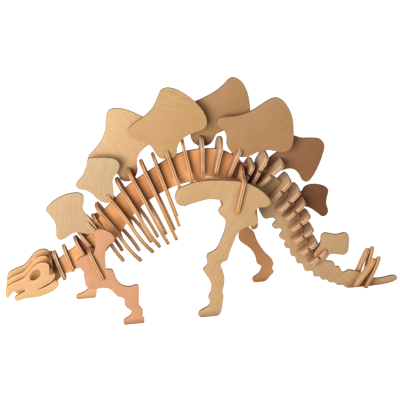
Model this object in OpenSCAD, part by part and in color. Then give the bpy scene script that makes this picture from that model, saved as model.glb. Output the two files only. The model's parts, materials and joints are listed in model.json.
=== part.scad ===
/* [Sheet] */
// Thickness of the plywood sheet every piece is cut from
ply = 3; // [2.8:0.05:3.05]
// Width of the slots that lock two fixed pieces together
slot = 3.2; // [3.2:0.05:3.4]
// Width of the slots of the back plates, which lift off
loose_slot = 3.4; // [3.4:0.05:3.6]

/* [Sideways spacing] */
// Distance from the middle sheet to the middle of each leg
leg_y = 35; // [34:0.25:37]
// Distance from the middle sheet to the middle of each skull side
skull_y = 16.5; // [15.5:0.25:17.5]
// Distance from the middle sheet to the middle of each back plate
plate_y = 7.5; // [7:0.25:8]
// How far the leg bars stick out past the legs
bar_end = 6; // [4:0.5:10]

/* [Smoothness] */
// Straight steps in each stretch of a curved outline
steps = 4; // [3:1:6]

/* [Hidden] */
$fn = 32;
gap = 0.05;
far = 60;

// ---- curves: a smooth closed line through the points; a third value of 1 keeps a corner sharp ----
function unit(v) = v / max(norm(v), 0.001);
function at(p) = [p[0], p[1]];
function way(P, i) = let (n = len(P)) P[i][2] == 1 ? [0, 0]
  : unit(unit(at(P[i]) - at(P[(i + n - 1) % n])) + unit(at(P[(i + 1) % n]) - at(P[i])));
function curve(P) = let (n = len(P)) [for (i = [0 : n - 1]) let (
    a = at(P[i]), b = at(P[(i + 1) % n]), s = norm(b - a),
    u = way(P, i) * s, v = way(P, (i + 1) % n) * s,
    flat = P[i][2] == 1 && P[(i + 1) % n][2] == 1)
  for (k = [0 : flat ? 0 : steps - 1]) let (t = k / steps)
    (2*t*t*t - 3*t*t + 1)*a + (t*t*t - 2*t*t + t)*u + (3*t*t - 2*t*t*t)*b + (t*t*t - t*t)*v];
// the same half outline on both sides, from the bottom to the top
function both(H) = concat(H, [for (i = [len(H) - 1 : -1 : 0]) if (H[i][0] > 0.01)
  [-H[i][0], H[i][1], H[i][2]]]);

// ---- sheets ----
// a sheet that stands along the body, its middle at y
module lengthwise(y) {
  translate([0, y, 0]) rotate([90, 0, 0]) linear_extrude(ply, center = true) children();
}
// a sheet that stands across the body; c = [x, z of its top, lean of its up line from +X, length]
module crosswise(c) {
  translate([c[0], 0, c[1]]) rotate([0, 90 - c[2], 0]) translate([0, 0, -c[3]]) rotate([90, 0, 90])
    linear_extrude(ply, center = true) children();
}
// the slot a crosswise sheet needs in a lengthwise one, from depth a to depth b below its top
module cut(c, a, b, w = slot) {
  translate([c[0], c[1]]) rotate(c[2] - 90) translate([-w / 2, -b]) square([w, b - a]);
}

// ---- where the crosswise pieces stand: [x, z of the top, lean, length, depth of the seat] ----
NECK = [[-142, 67, 106, 30, 18], [-132.4, 72.3, 106, 27.2, 16.8], [-121, 79.5, 115, 25, 14],
  [-117.2, 86, 124, 19.4, 14.4], [-110, 98.6, 127, 30.3, 22.3]];
// half the width of each neck vertebra without a plate
NECKW = [8, 8, 12, 9];
RIBS = [[-102.4, 100.3, 120, 52, 21], [-98, 110, 124, 68, 22], [-87.8, 122.5, 123, 73, 24],
  [-77, 133, 118, 76, 24], [-65, 141.5, 113.5, 80, 24], [-53, 148.7, 110, 82, 24],
  [-41.5, 154.5, 106, 72, 24], [-29.5, 161, 105, 58, 26], [-13, 166, 99, 56, 26]];
LUMBAR = [[5, 167, 88, 34, 22], [23.4, 164.8, 76, 34, 22], [41.2, 158.2, 66.5, 34, 24]];
// half the width of each lumbar vertebra
LUMBARW = [15, 18, 15];
TAILV = [[51.5, 139.5, 58, 22, 13], [65, 146.5, 58, 32, 22.5], [79.8, 137.7, 38, 31.5, 22.5],
  [85.7, 120.8, 44.5, 26, 17], [94.4, 109.4, 41.5, 28.5, 19], [99.3, 97.1, 38, 25.5, 16.5],
  [103.8, 82.5, 35.5, 23.5, 16], [106.5, 68.4, 29.5, 23, 15.5], [109.7, 55.3, 34, 20.5, 14],
  [119.2, 46.5, 40, 22, 15]];
// half the width of each tail vertebra
TAILW = [17, 16, 17, 17.5, 17, 15.5, 13.5, 14, 14, 13.5];
// how far the arms of each rib bow outward
BOW = [3, 7, 8, 8, 5, 4, 0, 0, 0];
SHOULDER = [-108, 77.3, 110.6, 31.5, 15.5];
HIP = [40.4, 138.5, 74, 39, 14];
SPIKE_F = [164.5, 34, 60, 36, 28];
SPIKE_R = [169, 35.4, 70, 37, 31];
SKULLBAR = [-145, 63, 90, 15, 7.5];
shoulder_leg_seat = 22.5;
hip_leg_seat = 22;
strip_y = 24;
strip_seat = 13.5;
plate_seat = 5.5;
key_r = 3.6;
key_neck = 3.6;
joint_top = [53, 135.2, 1];
joint_bend = [49.5, 128, 1];
joint_low = [45.5, 106, 1];
key_at = [42.6, 117];

// ---- the sheets that stand across ----
// a small vertebra: a rounded tab of half width w
function vertebra(w, L) = both([[w - 3, 0], [w - 0.6, 2], [w, L * 0.35], [w - 0.6, L * 0.62],
  [w * 0.84, L - 4], [w * 0.45, L - 0.8], [0, L]]);
// a rib: a broad knob above the spine and two arms that curve outward
function rib(w, L, bow) = both([[0, L * 0.5 - 2, 1], [3.4 + bow * 0.3, L * 0.5 - 3],
  [8 + bow * 0.9, L * 0.42], [10.8 + bow, L * 0.26], [11.4 + bow * 0.5, L * 0.11], [11.4, 2.6],
  [13, 0], [15.4, 1.4], [16 + bow * 0.5, L * 0.11], [15.8 + bow, L * 0.25], [14.4 + bow, L * 0.4],
  [12 + bow * 0.6, L * 0.53], [w - 2.1, L - 18], [w - 0.8, L - 10], [w, L - 6], [w - 2.4, L - 2],
  [w * 0.5, L - 0.3], [0, L]]);
// a leaf: narrow below, wide above
function leaf(w, low, L) = both([[low - 2.5, 0], [low, 2.5], [low + 0.8, L * 0.35], [w - 1.6, L * 0.6],
  [w, L * 0.78], [w - 4, L - 3.4], [w * 0.35, L - 0.4], [0, L]]);
// a tail vertebra: two lobes with a waist between
function twolobe(w, L) = both([[w - 4, 0], [w - 0.9, 1.6], [w, 4.6], [w, L * 0.4], [w - 0.8, L * 0.46],
  [w - 3.6, L * 0.49, 1], [w - 3.6, L * 0.51, 1], [w - 0.8, L * 0.54], [w, L * 0.6], [w, L - 5.4],
  [w - 1.4, L - 2], [w - 5, L - 0.3], [w * 0.4, L], [0, L]]);

// an outline with its middle slot cut up from the bottom
module seated(c, P) {
  difference() {
    polygon(curve(P));
    translate([-slot / 2, -5]) square([slot, c[3] - c[4] + 5 + gap]);
  }
}
// the notch a back plate drops into, from the top down to the seat
module plate_notch(c, side, depth) {
  translate([side * plate_y - loose_slot / 2, c[3] - depth - gap]) square([loose_slot, depth + 5]);
}
module neck_piece_with_plate(i, side) {
  crosswise(NECK[i]) difference() {
    seated(NECK[i], vertebra(13, NECK[i][3]));
    plate_notch(NECK[i], side, plate_seat);
  }
}
module lumbar_piece(i, sides) {
  crosswise(LUMBAR[i]) difference() {
    seated(LUMBAR[i], leaf(LUMBARW[i], LUMBARW[i] - 4.5, LUMBAR[i][3]));
    for (s = sides) plate_notch(LUMBAR[i], s, plate_seat);
  }
}
module neck_piece(i) { crosswise(NECK[i]) seated(NECK[i], vertebra(NECKW[i], NECK[i][3])); }
module rib_piece(i, w = 12.5) { crosswise(RIBS[i]) seated(RIBS[i], rib(w, RIBS[i][3], BOW[i])); }
module rib_with_plate(i, side) {
  crosswise(RIBS[i]) difference() {
    seated(RIBS[i], rib(13.5, RIBS[i][3], BOW[i]));
    plate_notch(RIBS[i], side, plate_seat);
  }
}
module tail_piece(i, sides) {
  crosswise(TAILV[i]) difference() {
    seated(TAILV[i], twolobe(TAILW[i], TAILV[i][3]));
    for (s = sides) plate_notch(TAILV[i], s, plate_seat);
  }
}
// an upright of half width w on each side of the middle, leaning outward from the base to a spike
function spikes(L) = both([[0, 13.5, 1], [1.8, 12.6], [6.6, L * 0.62], [10, L - 2.6], [13, L], [16.2, L - 2],
  [16, L * 0.66], [12.6, L * 0.34], [10, 5], [8.4, 0.8], [0, 0]]);

// ---- the sheets that stand along ----
skull_top = [[-189.8, 34], [-189.4, 38.5], [-187.3, 42.5], [-183, 45.2], [-177, 47.3], [-172.5, 49],
  [-169, 52], [-165, 56.5], [-161, 60.5], [-156, 63.2], [-150.5, 63.4], [-147, 61]];
beak = [[-177, 37.6], [-183.3, 36], [-186, 32.8], [-187.8, 31.2], [-189.4, 32]];
jaw = [[-142.4, 35.8], [-148, 32.6], [-154, 30.3], [-161, 28.9], [-170, 28.8], [-176, 27.8],
  [-179.5, 27], [-182, 28.5], [-181.4, 31], [-178, 33], [-171.5, 36.2, 1], [-171.8, 38, 1]];
skull_side_line = concat(skull_top, [[-145.8, 57], [-146.3, 53], [-147.6, 50, 1], [-145, 51.8],
  [-143.2, 52.4], [-142.1, 50.8], [-142.8, 47], [-145.4, 43.8], [-150, 41.2], [-155, 38.8],
  [-160.5, 35.8, 1], [-155, 37.7], [-149, 40.3], [-145, 42.7], [-141.8, 44], [-139.8, 42],
  [-139.8, 38.8]], jaw, beak);
spine_line = concat(skull_top, [[-145.5, 58.5], [-142, 57.5], [-136.5, 59.5], [-130, 64.5], [-123, 68.5],
  [-116, 75], [-108, 80], [-101, 87], [-97, 96], [-90, 104.5], [-80, 114], [-70, 123], [-58, 131.5],
  [-44, 139.5], [-30, 147.5], [-15, 153.5], [0, 155.5], [14, 155], [26, 151.8], [36, 144.8], [43, 138.4],
  [48.5, 136.4], joint_top, joint_bend, joint_low, [36, 112], [26, 118.5], [14, 123], [0, 124.5],
  [-14, 123.5], [-28, 119.5], [-40, 114], [-52, 107], [-62, 98], [-70, 89], [-79, 77.5], [-88, 67],
  [-98, 57], [-108, 50], [-118, 47.5], [-124, 47], [-127, 44.5], [-133, 43.5], [-137.6, 40]], jaw, beak);
// the tail's key: a round head on a neck, from the joint line and back to it
key_open = asin(key_neck / 2 / key_r);
joint_slope = (joint_bend[0] - joint_low[0]) / (joint_bend[1] - joint_low[1]);
function on_joint(z) = [joint_low[0] + (z - joint_low[1]) * joint_slope, z, 1];
key_line = concat([on_joint(key_at[1] - key_neck / 2)],
  [for (k = [0 : 16]) let (a = -key_open - k * (360 - 2 * key_open) / 16)
    [key_at[0] + key_r * cos(a), key_at[1] + key_r * sin(a), 1]],
  [on_joint(key_at[1] + key_neck / 2)]);
tail_line = concat([joint_top, [59.5, 133], [66, 128.5], [73.5, 121], [80.5, 112], [86.8, 102],
  [91.4, 91], [94.8, 80], [97.4, 69], [100, 58], [104.2, 48.4], [110.5, 40], [116, 34.4],
  [120.6, 30.6], [125.4, 29.6], [127.6, 27.4], [128.5, 24.2], [132, 23.4], [133.8, 21],
  [134.6, 17.8], [137, 17], [141, 19], [146, 18], [152, 15.8], [159, 11.5], [166, 7.6], [175, 7.4],
  [183, 8.6], [187.4, 8.4], [189.8, 5.8], [187, 3], [178, 0.9], [170, 0.2], [163, 0, 1],
  [141.5, 0, 1], [138.5, 0.8], [135, 3.6], [130, 4.2], [127, 7], [121.8, 8], [119, 11],
  [114.4, 11.6], [112, 15], [107, 15.6], [105.4, 21.4], [99, 22.2], [97.2, 25], [96, 30], [91, 31.4],
  [89.8, 34.5], [89, 38.2], [85.2, 40], [84.4, 43], [84, 47], [80, 48.8], [79, 51.2], [80, 56],
  [76, 58.2], [74.4, 61.2], [77, 66], [75.6, 69], [70.4, 69.4], [68, 72.4], [71.4, 78], [69, 80.6],
  [61, 80.6], [57.4, 86], [53.6, 97], joint_low], key_line, [joint_bend]);
front_leg_line = [[-100, 97.5], [-96, 98.5], [-90.5, 96.5], [-85.5, 92.5], [-83.4, 88.4], [-84.8, 85],
  [-89, 82.3], [-92, 78.5], [-93.3, 72], [-93.8, 65], [-94, 58.2, 1], [-89.5, 57.6], [-87.6, 56.4],
  [-86.4, 52.5], [-84.8, 46.6], [-81.5, 41.6], [-77, 39.2], [-71, 38.8], [-67, 40], [-65.2, 38.4],
  [-65.2, 32], [-66, 22], [-65.8, 18], [-63.2, 13.4], [-63.2, 9.8], [-63.8, 6.6], [-62.4, 4],
  [-62.8, 0, 1], [-81, 0, 1], [-82, 1.6], [-81.4, 5], [-77.5, 7.4], [-74.4, 10], [-73.6, 13],
  [-75.4, 15.4], [-78.6, 18.5], [-79.5, 22], [-79.2, 25.6], [-81.2, 28.2], [-85, 29.6], [-88, 33],
  [-92, 38], [-97.5, 39.8], [-104, 39.6], [-109.6, 40], [-113, 42.4], [-114.4, 47], [-114, 55],
  [-116, 60], [-119, 63.5], [-120, 67.5], [-117.4, 71.6], [-112, 73.6], [-108.5, 74.6, 1],
  [-105.4, 73.4, 1], [-102.6, 78], [-101.4, 86], [-101.6, 93]];
far_front_leg_line = [[-101.6, 87], [-97.5, 88.8], [-92.6, 87], [-90, 83], [-90.6, 78.6],
  [-92.6, 74], [-93.4, 69.5], [-93.8, 65], [-94.4, 56], [-97, 48], [-101, 41], [-101.6, 34],
  [-99.8, 28], [-101, 24], [-105.4, 20.6], [-106.6, 17], [-104.6, 12], [-105.4, 6], [-107, 0, 1],
  [-124.5, 0, 1], [-126, 1.8], [-124.6, 4.4], [-119.5, 6.4], [-113.6, 10], [-112.4, 14], [-114.8, 18],
  [-116.4, 24], [-114.8, 30], [-116, 36], [-114.4, 47], [-114, 55], [-115, 60], [-116.4, 64],
  [-115.6, 68], [-112, 70.6], [-108, 71.4, 1], [-105, 70.4, 1], [-103.2, 75], [-102.8, 82]];
ilium_front = [[4, 117.8], [-4, 116.4], [-13, 114.4], [-20, 113.8], [-24.4, 117], [-25.4, 122.5],
  [-22, 130], [-14, 133.4], [-5, 135.4], [5, 135.8], [16, 135.2], [27, 133.6], [38, 131.4], [46, 127.5],
  [53, 122.6], [59, 116.4], [62.2, 110.6], [61.4, 107]];
rear_leg_line = concat([[18.6, 113.6], [17, 115.6], [10.5, 117.2]], ilium_front, [[58, 105.4],
  [51.5, 105.2], [48, 103], [48, 99.6], [49.2, 94], [48.8, 89.8], [46, 88.2], [40, 87.6],
  [34.4, 85.4], [30, 81], [26, 72.5], [22.2, 64], [20, 57.4], [18, 55.2], [14.4, 54], [13.2, 51.4],
  [15, 44.5], [15.8, 38], [15, 31], [13.2, 24], [14, 20], [12.6, 12], [11.2, 5.6], [9.6, 2],
  [7, 0, 1], [-8.5, 0, 1], [-11, 2.4], [-10.4, 5.4], [-6, 8.6], [-1, 11], [0.6, 14], [-0.4, 19.4],
  [0.2, 22], [2.4, 26], [3, 32], [1, 39], [-2.6, 45.5], [-3.8, 49], [-1, 51.6], [0.6, 54.5],
  [0, 60], [1.2, 63.6], [5, 65.4], [9.4, 68], [12.6, 73], [16.4, 81], [19.2, 88.5], [20, 94],
  [18.2, 98.4], [15, 101.8], [13.6, 105], [15.2, 108.4], [18, 111]]);
far_rear_leg_line = concat([[14, 114], [10.5, 117.2]], ilium_front, [
  [60.6, 102], [59.4, 94], [58.8, 84], [58.6, 74],
  [58.8, 64], [58.2, 58.8], [55, 56.7], [52.4, 57.6], [50.6, 62, 1], [49.4, 62, 1], [50.2, 58.6],
  [52.4, 56], [54.6, 53.6], [56.6, 46.6], [60.4, 38],
  [65.4, 30], [70.4, 24], [72.6, 19], [71, 13.4], [72.4, 9.6], [68.6, 5.6], [65, 1.4], [62, 0, 1],
  [53, 0, 1], [51, 1.6], [51, 4.8], [54, 7], [57, 9], [59.2, 12.4], [60.4, 16.2], [58.6, 18.4],
  [56.2, 20], [55.4, 24.4], [53.8, 30], [51, 35.4], [47, 39.8], [41.6, 44.4], [39.2, 48],
  [39.4, 54], [36.8, 62], [30, 72], [24, 84], [21, 96], [19.6, 107]]);
strip_line = [[4, 130.6], [3, 134.6], [5.2, 137.4], [13.4, 134.8], [23, 132.4], [33, 130.6],
  [41, 129.2], [44, 125.6], [41.4, 121.8], [33, 122], [22, 124.6], [12, 127.6]];

// ---- the back plates: [outline, the piece it sits on, which side] ----
PLATE_1 = [[-144.4, 111.4], [-140.6, 116.8], [-130, 123.4], [-118, 126], [-111.4, 125], [-108.4, 121.6],
  [-108.8, 116.5], [-110.2, 110.5], [-109, 105.6], [-106, 101.8], [-103.4, 97.4], [-100.8, 93],
  [-98.8, 89], [-99.2, 85.6], [-103, 84], [-110, 85], [-118, 87], [-125, 84.6], [-130, 81.6],
  [-134, 80.8], [-137.2, 83.4], [-137, 90.5], [-137.4, 98.5], [-140.4, 104.6]];
PLATE_2 = [[-101, 157.6], [-103.6, 150], [-107.6, 142], [-112.8, 136.4], [-114.8, 132.8],
  [-112.6, 129.8], [-106, 127.6], [-100.6, 123.6], [-96.4, 118.4], [-92, 114.8], [-86.6, 113.2],
  [-82.4, 114.6], [-80.6, 119.6], [-80.2, 127], [-80.4, 133], [-78.6, 138.5], [-74.8, 143.5],
  [-72.8, 149.4], [-75.4, 154.4], [-82, 157], [-92, 158.2]];
PLATE_3 = [[-80.6, 194], [-78, 198], [-72, 199.4], [-62, 197], [-50, 190.6], [-38, 182], [-34.4, 174.5],
  [-37.6, 167.4], [-44, 161.6], [-50.4, 157], [-54.8, 151], [-56.2, 145], [-56, 138], [-58.4, 132],
  [-63, 128.2], [-69, 128], [-72.8, 130.4], [-74.4, 134.4], [-78, 139], [-86, 143], [-95, 145.6],
  [-101, 149.4], [-101.4, 154], [-95, 161], [-87.4, 170], [-83, 180], [-82, 188]];
PLATE_4 = [[-25, 218.6], [-29.6, 216.8], [-33.4, 210], [-38.4, 201], [-47, 193.4], [-57, 187.4],
  [-62.4, 182.6], [-61.6, 177.4], [-56, 173], [-47.6, 169.2], [-42, 164], [-38.6, 157],
  [-35.4, 152.6], [-29.6, 151], [-23, 152], [-19.6, 155], [-18.6, 160], [-16, 166], [-10, 171],
  [-2, 174.2], [6, 176.4], [10.2, 181], [9.4, 189.6], [4.4, 199], [-4, 208], [-13, 214.8],
  [-19.4, 217.8]];
PLATE_5 = [[38.6, 219.4], [34.6, 218.2], [30, 214], [22.4, 208.2], [10, 202.2], [-1, 197.6],
  [-4.6, 191.4], [-2.8, 183], [-3, 175], [-4.2, 169], [-3.4, 162.6], [0.6, 157.8], [7, 155.8],
  [13.4, 157.2], [17.2, 161.4], [20, 166.2], [27, 169], [37, 172.6], [48, 178.4], [52.4, 184],
  [52.6, 196], [50.4, 207], [46, 215]];
PLATE_6 = [[22.6, 186], [20, 182.8], [21.6, 177.8], [26.2, 173], [28, 167], [27.6, 160.4],
  [30, 154.4], [34.6, 149.4], [41.5, 146.4], [49, 147.2], [57, 150.2], [65, 151.2], [74, 149.2],
  [81, 148], [86.6, 150.4], [89.6, 156], [90.8, 168], [90.2, 180], [87, 190], [82, 197.4],
  [76, 200.8], [70, 199.8], [60, 194.4], [50, 189.4], [38, 186.6], [29, 186.6]];
PLATE_7 = [[92, 158], [100, 155.4], [112, 154.2], [118.4, 152.4], [122, 147], [120.4, 138], [114.6, 124],
  [108.6, 114.6], [104.2, 111.4], [100, 113.2], [97, 119.4], [92.8, 124.4], [87.4, 126.2],
  [81, 125], [74.6, 123.6], [69, 126.8], [66.6, 132], [68, 137], [72.4, 141], [79, 145], [86, 152]];
PLATE_8 = [[102, 106.2], [107, 108], [114, 107.6], [121.4, 104.8], [124.6, 101.4], [123.4, 94.8],
  [122.4, 87.5], [124, 79.8], [122.2, 75.8], [118.6, 74.6], [113.6, 78.4], [107.6, 83.6],
  [101.4, 86.2], [96.4, 84.2], [92.6, 83.2], [89.4, 86.2], [88.8, 90.8], [92.8, 96.6], [97, 99.4],
  [99.6, 103]];
PLATE_9 = [[113.4, 57], [114, 61], [117, 63], [121, 62.4], [129, 60.4], [136, 61.4], [139.6, 60],
  [141, 55], [140.4, 48], [139.2, 41.4], [135.6, 38.8], [129, 39.8], [122, 40.6], [118.4, 36.4],
  [113.6, 34.6], [108.6, 37.4], [106, 41.6], [108.6, 46.6], [112.2, 51.6]];
SEAT = [[PLATE_1, NECK[4], -1], [PLATE_2, RIBS[2], -1], [PLATE_3, RIBS[4], 1], [PLATE_4, RIBS[7], -1],
  [PLATE_5, LUMBAR[0], 1], [PLATE_6, LUMBAR[2], -1], [PLATE_7, TAILV[2], 1], [PLATE_8, TAILV[5], 1],
  [PLATE_9, TAILV[9], -1]];
module back_plate(i) {
  lengthwise(SEAT[i][2] * plate_y) difference() {
    polygon(curve(SEAT[i][0]));
    cut(SEAT[i][1], plate_seat, far, loose_slot);
  }
}

// ---- the long sheets with their slots ----
module all_seats(list) { for (c = list) cut(c, -9, c[4] + gap); }
// the round hole in the spine that the tail's key snaps into, with its neck
module key_hole() {
  translate(key_at) circle(key_r + 0.1);
  translate(key_at - [0, key_neck / 2 + 0.1]) square([8, key_neck + 0.2]);
}

module spine() { color("burlywood") lengthwise(0) difference() {
  polygon(curve(spine_line));
  key_hole();
  all_seats(concat(NECK, RIBS, LUMBAR, [TAILV[0]]));
  cut(SKULLBAR, -9, SKULLBAR[4] + gap);
  cut(SHOULDER, SHOULDER[4] - gap, far);
  cut(HIP, HIP[4] - gap, far);
} }
module tail() { color("tan") lengthwise(0) difference() {
  polygon(curve(tail_line));
  all_seats([for (i = [1 : 9]) TAILV[i]]);
  cut(SPIKE_F, -9, SPIKE_F[4] + gap);
  cut(SPIKE_R, -9, SPIKE_R[4] + gap);
} }
module skull_side(y) {
  lengthwise(y) difference() {
    polygon(curve(skull_side_line));
    translate([-160.4, 51.6]) rotate(45) scale([1, 0.62]) circle(6.4);
    cut(SKULLBAR, -9, 12 + gap);
  }
}

module skull_left() { color("tan") skull_side(-skull_y); }
module skull_right() { color("tan") skull_side(skull_y); }
module skull_bar() { color("peru") crosswise(SKULLBAR) difference() {
  polygon(curve(both([[11.6, 0], [13.2, 1.6], [13.2, 3, 1], [skull_y + 2.5, 3, 1], [skull_y + 2.5, 8, 1],
    [13.2, 8, 1], [13.2, 13.2], [11.6, 15]])));
  translate([-slot / 2, -5]) square([slot, SKULLBAR[3] - SKULLBAR[4] + 5 + gap]);
} }

module neck_vertebra_1() { color("wheat") neck_piece(0); }
module neck_vertebra_2() { color("wheat") neck_piece(1); }
module neck_vertebra_3() { color("wheat") neck_piece(2); }
module neck_vertebra_4() { color("wheat") neck_piece(3); }
module neck_vertebra_5() { color("wheat") neck_piece_with_plate(4, -1); }
module rib_1() { color("wheat") rib_piece(0, 5.6); }
module rib_2() { color("wheat") rib_piece(1); }
module rib_3() { color("wheat") rib_with_plate(2, -1); }
module rib_4() { color("wheat") rib_piece(3); }
module rib_5() { color("wheat") rib_with_plate(4, 1); }
module rib_6() { color("wheat") rib_piece(5); }
module rib_7() { color("wheat") rib_piece(6); }
module rib_8() { color("wheat") rib_with_plate(7, -1); }
module rib_9() { color("wheat") rib_piece(8); }
module lumbar_vertebra_1() { color("wheat") lumbar_piece(0, [1]); }
module lumbar_vertebra_2() { color("wheat") lumbar_piece(1, []); }
module lumbar_vertebra_3() { color("wheat") lumbar_piece(2, [-1]); }
module tail_vertebra_1() { color("wheat") tail_piece(0, []); }
module tail_vertebra_2() { color("wheat") tail_piece(1, []); }
module tail_vertebra_3() { color("wheat") tail_piece(2, [1]); }
module tail_vertebra_4() { color("wheat") tail_piece(3, []); }
module tail_vertebra_5() { color("wheat") tail_piece(4, []); }
module tail_vertebra_6() { color("wheat") tail_piece(5, [1]); }
module tail_vertebra_7() { color("wheat") tail_piece(6, []); }
module tail_vertebra_8() { color("wheat") tail_piece(7, []); }
module tail_vertebra_9() { color("wheat") tail_piece(8, []); }
module tail_vertebra_10() { color("wheat") tail_piece(9, [-1]); }
module tail_spikes_front() { color("wheat") crosswise(SPIKE_F) seated(SPIKE_F, spikes(SPIKE_F[3])); }
module tail_spikes_rear() { color("wheat") crosswise(SPIKE_R) seated(SPIKE_R, spikes(SPIKE_R[3])); }

// the two long bars that carry the legs; each leg slots in from below
module shoulder_bar() { color("peru") crosswise(SHOULDER) difference() {
  polygon(curve(both([[30, 0], [leg_y + bar_end - 2, 1], [leg_y + bar_end, 4],
  [leg_y + bar_end + 0.3, 15],
    [leg_y + bar_end, 26.5], [leg_y + bar_end - 2, 30.5], [31, 31.5], [22, 29.5], [14, 24],
    [10.8, 22.4, 1]])));
  translate([-slot / 2, SHOULDER[3] - SHOULDER[4] - gap]) square([slot, 20]);
  for (s = [-1, 1]) translate([s * leg_y - slot / 2, -5])
    square([slot, SHOULDER[3] - shoulder_leg_seat + 5 + gap]);
} }
module hip_bar() { color("peru") crosswise(HIP) difference() {
  polygon(curve(both([[30, 0.4], [leg_y + bar_end - 1, 1], [leg_y + bar_end + 0.7, 4],
  [leg_y + bar_end + 1, 16],
    [leg_y + bar_end + 0.4, 30], [leg_y + bar_end - 1.4, 33.6], [32, 35], [22, 37.4], [10, 39]])));
  translate([-slot / 2, HIP[3] - HIP[4] - gap]) square([slot, 20]);
  for (s = [-1, 1]) {
    translate([s * leg_y - slot / 2, -5]) square([slot, HIP[3] - hip_leg_seat + 5 + gap]);
    translate([s * strip_y - slot / 2, HIP[3] - strip_seat - gap]) square([slot, 30]);
  }
} }
module front_leg_left() { color("burlywood") lengthwise(-leg_y) difference() {
  polygon(curve(front_leg_line));
  cut(SHOULDER, -6, shoulder_leg_seat + gap);
} }
module front_leg_right() { color("burlywood") lengthwise(leg_y) difference() {
  polygon(curve(far_front_leg_line));
  cut(SHOULDER, -6, shoulder_leg_seat + gap);
} }
module rear_leg_left() { color("burlywood") lengthwise(-leg_y) difference() {
  polygon(curve(rear_leg_line));
  cut(HIP, -6, hip_leg_seat + gap);
} }
module rear_leg_right() { color("burlywood") lengthwise(leg_y) difference() {
  polygon(curve(far_rear_leg_line));
  cut(HIP, -6, hip_leg_seat + gap);
} }
module pelvis_strip(y) { lengthwise(y) difference() {
  polygon(curve(strip_line));
  cut(HIP, strip_seat, far);
} }
module pelvis_strip_left() { color("burlywood") pelvis_strip(-strip_y); }
module pelvis_strip_right() { color("burlywood") pelvis_strip(strip_y); }
module back_plate_1() { color("tan") back_plate(0); }
module back_plate_2() { color("tan") back_plate(1); }
module back_plate_3() { color("tan") back_plate(2); }
module back_plate_4() { color("tan") back_plate(3); }
module back_plate_5() { color("tan") back_plate(4); }
module back_plate_6() { color("tan") back_plate(5); }
module back_plate_7() { color("tan") back_plate(6); }
module back_plate_8() { color("tan") back_plate(7); }
module back_plate_9() { color("tan") back_plate(8); }

spine();
tail();
skull_left();
skull_right();
skull_bar();
neck_vertebra_1();
neck_vertebra_2();
neck_vertebra_3();
neck_vertebra_4();
neck_vertebra_5();
rib_1();
rib_2();
rib_3();
rib_4();
rib_5();
rib_6();
rib_7();
rib_8();
rib_9();
lumbar_vertebra_1();
lumbar_vertebra_2();
lumbar_vertebra_3();
pelvis_strip_left();
pelvis_strip_right();
shoulder_bar();
hip_bar();
front_leg_left();
front_leg_right();
rear_leg_left();
rear_leg_right();
tail_vertebra_1();
tail_vertebra_2();
tail_vertebra_3();
tail_vertebra_4();
tail_vertebra_5();
tail_vertebra_6();
tail_vertebra_7();
tail_vertebra_8();
tail_vertebra_9();
tail_vertebra_10();
tail_spikes_front();
tail_spikes_rear();
back_plate_1();
back_plate_2();
back_plate_3();
back_plate_4();
back_plate_5();
back_plate_6();
back_plate_7();
back_plate_8();
back_plate_9();
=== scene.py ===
import bpy
import bmesh
import json
import math
from mathutils import Matrix, Vector


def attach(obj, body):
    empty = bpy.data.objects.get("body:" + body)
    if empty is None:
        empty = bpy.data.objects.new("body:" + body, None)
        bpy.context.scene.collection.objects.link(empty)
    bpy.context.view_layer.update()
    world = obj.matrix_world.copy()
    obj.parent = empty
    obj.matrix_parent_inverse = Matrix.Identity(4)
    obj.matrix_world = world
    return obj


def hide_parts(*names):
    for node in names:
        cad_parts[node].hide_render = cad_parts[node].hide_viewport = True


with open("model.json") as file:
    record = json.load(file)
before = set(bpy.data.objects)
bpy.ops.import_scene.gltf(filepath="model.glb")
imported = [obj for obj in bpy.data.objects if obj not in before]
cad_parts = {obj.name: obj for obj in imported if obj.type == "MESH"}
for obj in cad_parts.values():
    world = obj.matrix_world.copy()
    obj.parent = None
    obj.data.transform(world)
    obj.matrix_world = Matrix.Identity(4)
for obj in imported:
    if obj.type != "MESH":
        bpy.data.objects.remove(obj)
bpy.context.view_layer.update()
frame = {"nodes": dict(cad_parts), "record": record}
nodes = frame["nodes"]
MM = 0.001
TO_MM = 1000.0

# ---------------------------------------------------------------- camera
# degrees: round towards the head from square on, up from level, and roll of the frame
AZIMUTH, ELEVATION, ROLL = -4.6, 20.0, 3.6
LOOK_AT = Vector((0.0, 0.0, 0.1))
DISTANCE = 1.2
SENSOR, LENS = 36.0, 113.94   # mm
SHIFT_Y = 0.01225             # of the frame's width


def make_camera():
    azimuth, elevation, roll = (math.radians(v) for v in (AZIMUTH, ELEVATION, ROLL))
    back = Vector((math.sin(azimuth) * math.cos(elevation),
                   -math.cos(azimuth) * math.cos(elevation),
                   math.sin(elevation)))
    level = Vector((math.cos(azimuth), math.sin(azimuth), 0.0))
    upright = back.cross(level)
    right = level * math.cos(roll) - upright * math.sin(roll)
    up = level * math.sin(roll) + upright * math.cos(roll)
    pose = Matrix((right, up, back)).transposed().to_4x4()
    pose.translation = LOOK_AT + back * DISTANCE
    camera = bpy.data.objects.new("camera", bpy.data.cameras.new("camera"))
    bpy.context.scene.collection.objects.link(camera)
    camera.matrix_world = pose
    camera.data.sensor_width = SENSOR
    camera.data.lens = LENS
    camera.data.shift_y = SHIFT_Y
    bpy.context.scene.camera = camera


make_camera()


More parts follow.
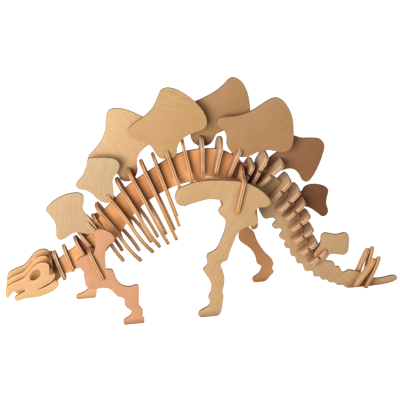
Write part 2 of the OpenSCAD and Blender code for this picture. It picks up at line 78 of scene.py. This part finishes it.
# ---------------------------------------------------------------- node trees
class Nodes:
    """A short way to write a material's node tree."""

    def __init__(self, material):
        material.use_nodes = True
        self.tree = material.node_tree
        self.tree.nodes.clear()

    def add(self, kind, inputs=(), **props):
        node = self.tree.nodes.new(kind)
        for key, value in props.items():
            setattr(node, key, value)
        for key, value in dict(inputs).items():
            if isinstance(value, bpy.types.NodeSocket):
                self.tree.links.new(value, node.inputs[key])
            else:
                node.inputs[key].default_value = value
        return node

    def math(self, operation, a, b=0.0, c=0.0):
        return self.add("ShaderNodeMath", {0: a, 1: b, 2: c}, operation=operation).outputs[0]

    def dot(self, place, direction):
        node = self.add("ShaderNodeVectorMath", {0: place, 1: tuple(direction)}, operation="DOT_PRODUCT")
        return node.outputs["Value"]

    def ramp(self, value, start, end, low=0.0, high=1.0):
        """Low before the start, high past the end, and a smooth step between them."""
        node = self.add("ShaderNodeMapRange", {0: value, 1: start, 2: end, 3: low, 4: high},
                        interpolation_type="SMOOTHSTEP")
        return node.outputs[0]

    def mix(self, factor, a, b, blend="MIX"):
        # inputs 6 and 7 and output 2 are the node's colour sockets
        node = self.add("ShaderNodeMix", {0: factor, 6: a, 7: b}, data_type="RGBA", blend_type=blend)
        return node.outputs[2]


class SheetNodes(Nodes):
    """A node tree that knows its place in one sheet: along, across and through it, in mm."""

    def __init__(self, material, grain, normal, centre, seed):
        super().__init__(material)
        coords = self.add("ShaderNodeTexCoord")
        place = coords.outputs["Object"]
        side = normal.cross(grain).normalized()
        self.along = self.math("MULTIPLY", self.dot(place, grain), TO_MM)
        self.across = self.math("MULTIPLY", self.dot(place, side), TO_MM)
        off_centre = self.math("SUBTRACT", self.dot(place, normal), centre)
        self.through = self.math("MULTIPLY", off_centre, TO_MM)
        self.facing = self.math("ABSOLUTE", self.dot(coords.outputs["Normal"], normal))
        self.seed = seed

    def noise(self, along, across, through, shift, detail, rough=0.5, distort=0.0):
        """Noise with that many cells per mm each way, moved by the sheet's seed and its own shift."""
        offset = self.seed + shift
        place = self.add("ShaderNodeCombineXYZ", {
            0: self.math("MULTIPLY_ADD", self.along, along, offset),
            1: self.math("MULTIPLY_ADD", self.across, across, offset * 0.7),
            2: self.math("MULTIPLY_ADD", self.through, through, offset * 0.3)})
        node = self.add("ShaderNodeTexNoise", {"Vector": place.outputs[0], "Scale": 1.0, "Detail": detail,
                                               "Roughness": rough, "Distortion": distort})
        return node.outputs[0]


# ---------------------------------------------------------------- plywood
CORE = (0.20, 0.078, 0.030)   # linear, as all colours here
CORE_HALF = 0.58              # mm from the middle plane to a glue line
CORNER_REACH = 14 * MM        # how near another surface has to be to darken this one
CORNER_SHADE = (0.32, 0.13, 0.055, 1.0)
FIBRE_DEPTH = 0.12 * MM       # height of the grain


def scaled(colour, red, green, blue):
    """The colour with each channel scaled, no brighter than white, with alpha."""
    return tuple(min(1.0, c * k) for c, k in zip(colour, (red, green, blue))) + (1.0,)


def veneer(t, face, fibre):
    """The flat of the sheet: fibres, growth rings, warm clouds, pale cross marks and dark flecks."""
    figure = t.noise(0.012, 0.16, 0.05, 11.0, 3.0, 0.5, 0.9)
    cloud = t.noise(0.022, 0.03, 0.02, 23.0, 2.0)
    cross_marks = t.noise(0.9, 0.06, 0.05, 31.0, 2.0)
    flecks = t.noise(0.45, 3.2, 0.4, 47.0, 2.0, 0.4)
    # slow bands, as the growth rings of a rotary-cut veneer show
    rings = t.math("SINE", t.math("MULTIPLY_ADD", figure, 46.0, t.math("MULTIPLY", t.across, 0.16)))
    light = scaled(face, 1.10, 1.10, 1.10)
    colour = t.mix(t.ramp(fibre, 0.32, 0.70), light, scaled(face, 0.86, 0.81, 0.74))
    colour = t.mix(t.ramp(rings, -0.4, 1.0, 0.0, 0.16), colour, scaled(face, 0.80, 0.70, 0.60))
    colour = t.mix(t.ramp(cloud, 0.35, 0.70, 0.0, 0.35), colour, scaled(face, 0.98, 0.86, 0.74))
    colour = t.mix(t.ramp(cross_marks, 0.52, 0.75, 0.0, 0.16), colour, light)
    return t.mix(t.ramp(flecks, 0.66, 0.80, 0.0, 0.30), colour, scaled(face, 0.55, 0.42, 0.30))


def cut_edge(t, face, rim, end_grain):
    """The cut edge: two face plies, a darker core and a thin glue line on each side of it."""
    depth = t.math("ABSOLUTE", t.through)
    # rim scales both outer plies: below 1 it is painted shade that darkens the whole cut edge
    pale = scaled(face, 1.05 * rim, 1.05 * rim, 1.05 * rim)
    scorched = scaled(face, 0.70 * rim, 0.58 * rim, 0.45 * rim)
    plies = t.mix(t.ramp(end_grain, 0.35, 0.70, 0.0, 0.55), pale, scorched)
    core = t.mix(t.ramp(end_grain, 0.30, 0.65), scaled(CORE, 1.0, 1.0, 1.0), scaled(CORE, 1.9, 1.9, 1.9))
    in_core = t.math("MULTIPLY", t.ramp(depth, 0.42, 0.60, 1.0, 0.0), 0.85)
    off_glue = t.math("ABSOLUTE", t.math("SUBTRACT", depth, CORE_HALF))
    in_glue = t.math("MULTIPLY", t.ramp(off_glue, 0.03, 0.12, 1.0, 0.0), 0.6)
    return t.mix(in_glue, t.mix(in_core, plies, core), scaled(CORE, 0.4, 0.4, 0.4))


def plywood(name, face, rim, grain, normal, centre, seed):
    """Bare veneered plywood for one sheet, with painted shade in its corners and on its darkened cut
    edges.
    """
    material = bpy.data.materials.new(name)
    t = SheetNodes(material, grain, normal, centre, seed)
    fibre = t.noise(0.07, 2.6, 0.5, 0.0, 4.0, 0.62, 0.15)
    end_grain = t.noise(2.2, 2.2, 0.15, 61.0, 3.0, 0.6)
    on_face = t.ramp(t.facing, 0.72, 0.92)
    colour = t.mix(on_face, cut_edge(t, face, rim, end_grain), veneer(t, face, fibre))
    # painted shade: corners between sheets are darker and redder, as where light has gone from sheet to
    # sheet
    openness = t.add("ShaderNodeAmbientOcclusion", {"Distance": CORNER_REACH}, samples=8).outputs["AO"]
    colour = t.mix(t.ramp(openness, 0.1, 0.85, 1.0, 0.0), colour, CORNER_SHADE, "MULTIPLY")
    edge_relief = t.math("MULTIPLY", end_grain, t.math("SUBTRACT", 1.0, on_face))
    relief = t.math("ADD", t.math("MULTIPLY", fibre, 0.7), edge_relief)
    bump = t.add("ShaderNodeBump", {"Strength": 0.28, "Distance": FIBRE_DEPTH, "Height": relief})
    wood = t.add("ShaderNodeBsdfPrincipled", {
        "Base Color": colour, "Roughness": t.ramp(fibre, 0.2, 0.8, 0.52, 0.72),
        "Normal": bump.outputs[0], "Specular IOR Level": 0.35})
    t.add("ShaderNodeOutputMaterial", {"Surface": wood.outputs[0]})
    return material


# ---------------------------------------------------------------- pieces
# veneer colours, linear
SAND = (0.48, 0.34, 0.195)
TAN = (0.46, 0.295, 0.150)
GOLD = (0.55, 0.36, 0.190)
CLAY = (0.415, 0.265, 0.138)
OCHRE = (0.44, 0.27, 0.118)
UMBER = (0.34, 0.190, 0.082)
ROSE = (0.49, 0.335, 0.195)
PINK = (0.52, 0.265, 0.146)
PALE = (0.60, 0.365, 0.180)
CREAM = (0.68, 0.455, 0.270)
STRAW = (0.66, 0.385, 0.180)
RUST = (0.46, 0.215, 0.085)
ORANGE = (0.78, 0.40, 0.150)
# painted shade: the two darkest colours stand for shadow on the skull bar and on back plates 7 and 8, not
# for a darker wood
PAINTED_SHADE_BROWN = (0.225, 0.102, 0.040)
PAINTED_SHADE_COCOA = (0.138, 0.048, 0.013)

# Each piece's veneer, and the angle of its grain in degrees. In a lengthwise sheet the angle is
# from +X. In a crosswise sheet UPWARD is up the sheet and any other is across the body.
UPWARD = 90
PIECES = {
    "spine": (ORANGE, 25), "tail": (CLAY, -50),
    # painted shade: skull_bar is given a dark colour for the shadow of the skull dome in front of it
    "skull_left": (PALE, 15), "skull_right": (PALE, 15), "skull_bar": (PAINTED_SHADE_BROWN, 0),
    "front_leg_left": (PINK, 80), "front_leg_right": (STRAW, 80),
    "rear_leg_left": (TAN, 60), "rear_leg_right": (RUST, 70),
    "shoulder_bar": (STRAW, 0), "hip_bar": (STRAW, 0),
    "pelvis_strip_left": (STRAW, 0), "pelvis_strip_right": (STRAW, 0),
    "tail_spikes_front": (STRAW, UPWARD), "tail_spikes_rear": (STRAW, UPWARD),
    "back_plate_1": (ROSE, 88), "back_plate_2": (SAND, 92), "back_plate_3": (GOLD, 110),
    "back_plate_4": (OCHRE, -20), "back_plate_5": (UMBER, 60), "back_plate_6": (UMBER, 30),
    # painted shade: back plates 7 and 8 are darkened for the shadow behind plate 6 and the tail vertebrae
    "back_plate_7": (PAINTED_SHADE_BROWN, 20), "back_plate_8": (PAINTED_SHADE_COCOA, 85), "back_plate_9": (CLAY, 88),
}
RIB = (STRAW, UPWARD)
VERTEBRA = (CREAM, UPWARD)

ACROSS_BODY = Vector((0.0, 1.0, 0.0))
# painted shade: the cut edges of the lengthwise sheets are darkened all round to stand in for their unlit
# top and right edges
LENGTHWISE_RIM_SHADE, CROSSWISE_RIM = 0.55, 1.0   # brightness of the cut edge
SEED_STEP = 7.3                             # so that no two sheets have the same grain
EASED = 0.28 * MM                           # width of the rounding on the rims
WELD = 0.004 * MM                           # vertices nearer than this are one
FLAT = math.radians(0.5)                    # faces that turn less than this are joined
CORNER = math.radians(60)                   # the least turn at a rim
SHARP = math.radians(28)                    # a turn that is shaded as an edge
PARALLEL, NEAR = 0.9999, 0.9                # cosines: the same direction, and near it


def sheet_of(piece):
    """The sheet's normal, from its largest flat faces, and the middle plane's place along it."""
    areas = []
    for face in piece.data.polygons:
        for entry in areas:
            if abs(entry[0].dot(face.normal)) > PARALLEL:
                entry[1] += face.area
                break
        else:
            areas.append([face.normal.copy(), face.area])
    normal = max(areas, key=lambda entry: entry[1])[0]
    if normal.y < -0.5 or (abs(normal.y) < 0.5 and normal.x < 0):
        normal = -normal
    places = [v.co.dot(normal) for v in piece.data.vertices]
    return normal, (min(places) + max(places)) / 2


def grain_of(lengthwise, normal, angle):
    if lengthwise:
        turn = math.radians(angle)
        return Vector((math.cos(turn), 0.0, math.sin(turn)))
    if angle == UPWARD:
        return ACROSS_BODY.cross(normal).normalized()
    return ACROSS_BODY


def on_rim(edge, normal):
    """Whether the edge is where the flat of the sheet meets its cut edge."""
    if len(edge.link_faces) != 2:
        return False
    one, other = (face.normal for face in edge.link_faces)
    flattest = max(abs(one.dot(normal)), abs(other.dot(normal)))
    return one.angle(other, 0.0) > CORNER and flattest > NEAR


def eased_mesh(name, cad, normal):
    """The CAD sheet with its rims rounded over a little."""
    bm = bmesh.new()
    bm.from_mesh(cad.data)
    bmesh.ops.remove_doubles(bm, verts=bm.verts, dist=WELD)
    bmesh.ops.dissolve_limit(bm, angle_limit=FLAT, verts=bm.verts, edges=bm.edges)
    rims = [edge for edge in bm.edges if on_rim(edge, normal)]
    bmesh.ops.bevel(bm, geom=rims, offset=EASED, offset_type="OFFSET", segments=2, profile=0.6,
                    affect="EDGES", clamp_overlap=True)
    bmesh.ops.triangulate(bm, faces=[face for face in bm.faces if len(face.verts) > 4])
    bmesh.ops.recalc_face_normals(bm, faces=bm.faces)
    mesh = bpy.data.meshes.new(name)
    bm.to_mesh(mesh)
    bm.free()
    for face in mesh.polygons:
        face.use_smooth = True
    mesh.set_sharp_from_angle(angle=SHARP)
    return mesh


def finish_piece(name, seed):
    """One piece as it is cut, in its own plywood."""
    cad = nodes[name]
    normal, centre = sheet_of(cad)
    lengthwise = abs(normal.y) > NEAR
    face, angle = PIECES.get(name, RIB if name.startswith("rib") else VERTEBRA)
    grain = grain_of(lengthwise, normal, angle)
    rim = LENGTHWISE_RIM_SHADE if lengthwise else CROSSWISE_RIM
    mesh = eased_mesh("sheet_" + name, cad, normal)
    mesh.materials.append(plywood("ply_" + name, face, rim, grain, normal, centre, seed))
    obj = bpy.data.objects.new("sheet_" + name, mesh)
    bpy.context.scene.collection.objects.link(obj)
    bodies = frame["record"]["behaviour"]["bodies"]
    body = next(b for b, members in bodies.items() if name in members)
    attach(obj, body)
    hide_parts(name)


for index, name in enumerate(sorted(nodes)):
    finish_piece(name, SEED_STEP * index)


# ---------------------------------------------------------------- stage and light
FLOOR_RADIUS = 8.0
FLOOR_Z = -0.2 * MM
FLOOR_GLOW = 0.78
KEY_PLACE, KEY_TARGET = Vector((-0.8, -1.62, 0.5)), Vector((0.0, 0.0, 0.08))
KEY_SIZE, KEY_POWER = 1.1, 45.0
KEY_COLOUR = (1.0, 0.97, 0.93)
SKY_COLOUR, SKY_STRENGTH = (0.95, 0.97, 1.0, 1.0), 0.40


def make_floor():
    """A white floor that adds no light of its own to the piece above it."""
    bpy.ops.mesh.primitive_circle_add(vertices=96, radius=FLOOR_RADIUS, fill_type="NGON",
                                      location=(0, 0, FLOOR_Z))
    floor = bpy.context.object
    floor.name = "floor"
    material = bpy.data.materials.new("floor_white")
    t = Nodes(material)
    paint = t.add("ShaderNodeBsdfDiffuse", {"Color": (0.85, 0.85, 0.85, 1.0)})
    glow = t.add("ShaderNodeEmission", {"Color": (1.0, 1.0, 1.0, 1.0), "Strength": FLOOR_GLOW})
    both = t.add("ShaderNodeAddShader", {0: paint.outputs[0], 1: glow.outputs[0]})
    t.add("ShaderNodeOutputMaterial", {"Surface": both.outputs[0]})
    floor.data.materials.append(material)
    floor.visible_diffuse = False
    floor.visible_glossy = False


def make_key():
    light = bpy.data.lights.new("key", "AREA")
    light.shape = "DISK"
    light.size = KEY_SIZE
    light.energy = KEY_POWER
    light.color = KEY_COLOUR
    lamp = bpy.data.objects.new("key", light)
    lamp.location = KEY_PLACE
    lamp.rotation_euler = (KEY_PLACE - KEY_TARGET).to_track_quat("Z", "Y").to_euler()
    bpy.context.scene.collection.objects.link(lamp)


def make_sky():
    world = bpy.data.worlds.new("studio")
    world.use_nodes = True
    background = world.node_tree.nodes["Background"]
    background.inputs["Color"].default_value = SKY_COLOUR
    background.inputs["Strength"].default_value = SKY_STRENGTH
    bpy.context.scene.world = world


make_floor()
make_key()
make_sky()
bpy.context.scene.view_settings.view_transform = "Standard"
